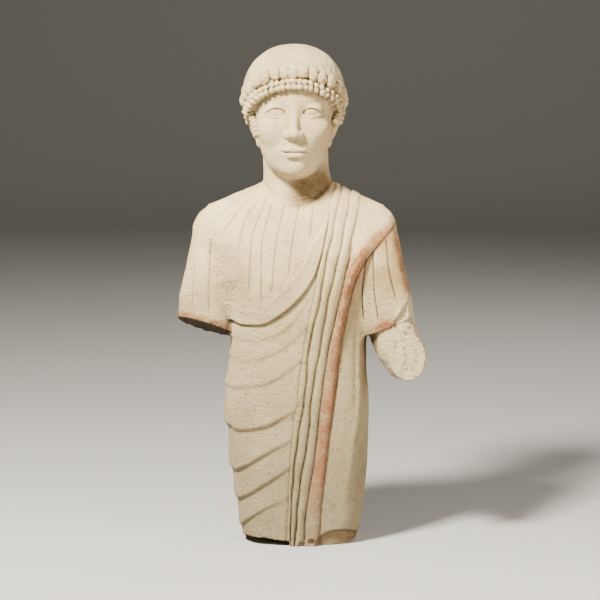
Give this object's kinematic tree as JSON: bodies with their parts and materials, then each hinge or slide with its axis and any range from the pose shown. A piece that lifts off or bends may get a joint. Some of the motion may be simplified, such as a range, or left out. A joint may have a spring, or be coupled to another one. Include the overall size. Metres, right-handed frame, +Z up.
{
  "type": "limestone votary statuette",
  "caption": "Standing draped youth with a leaf wreath, carved in one piece of limestone, with broken forearms and a flat underside.",
  "frame": {"origin": "centre of the flat underside, which the statuette stands on", "axes": "+Z up through the head, the figure faces -Y, +X to the right of a viewer who faces the figure"},
  "size_m": [0.2079, 0.1021, 0.42],
  "materials": {
    "limestone": "matte, fine-grained, weathered"
  },
  "bodies": {
    "root": {"votary_statuette": "limestone"}
  },
  "joints": []
}
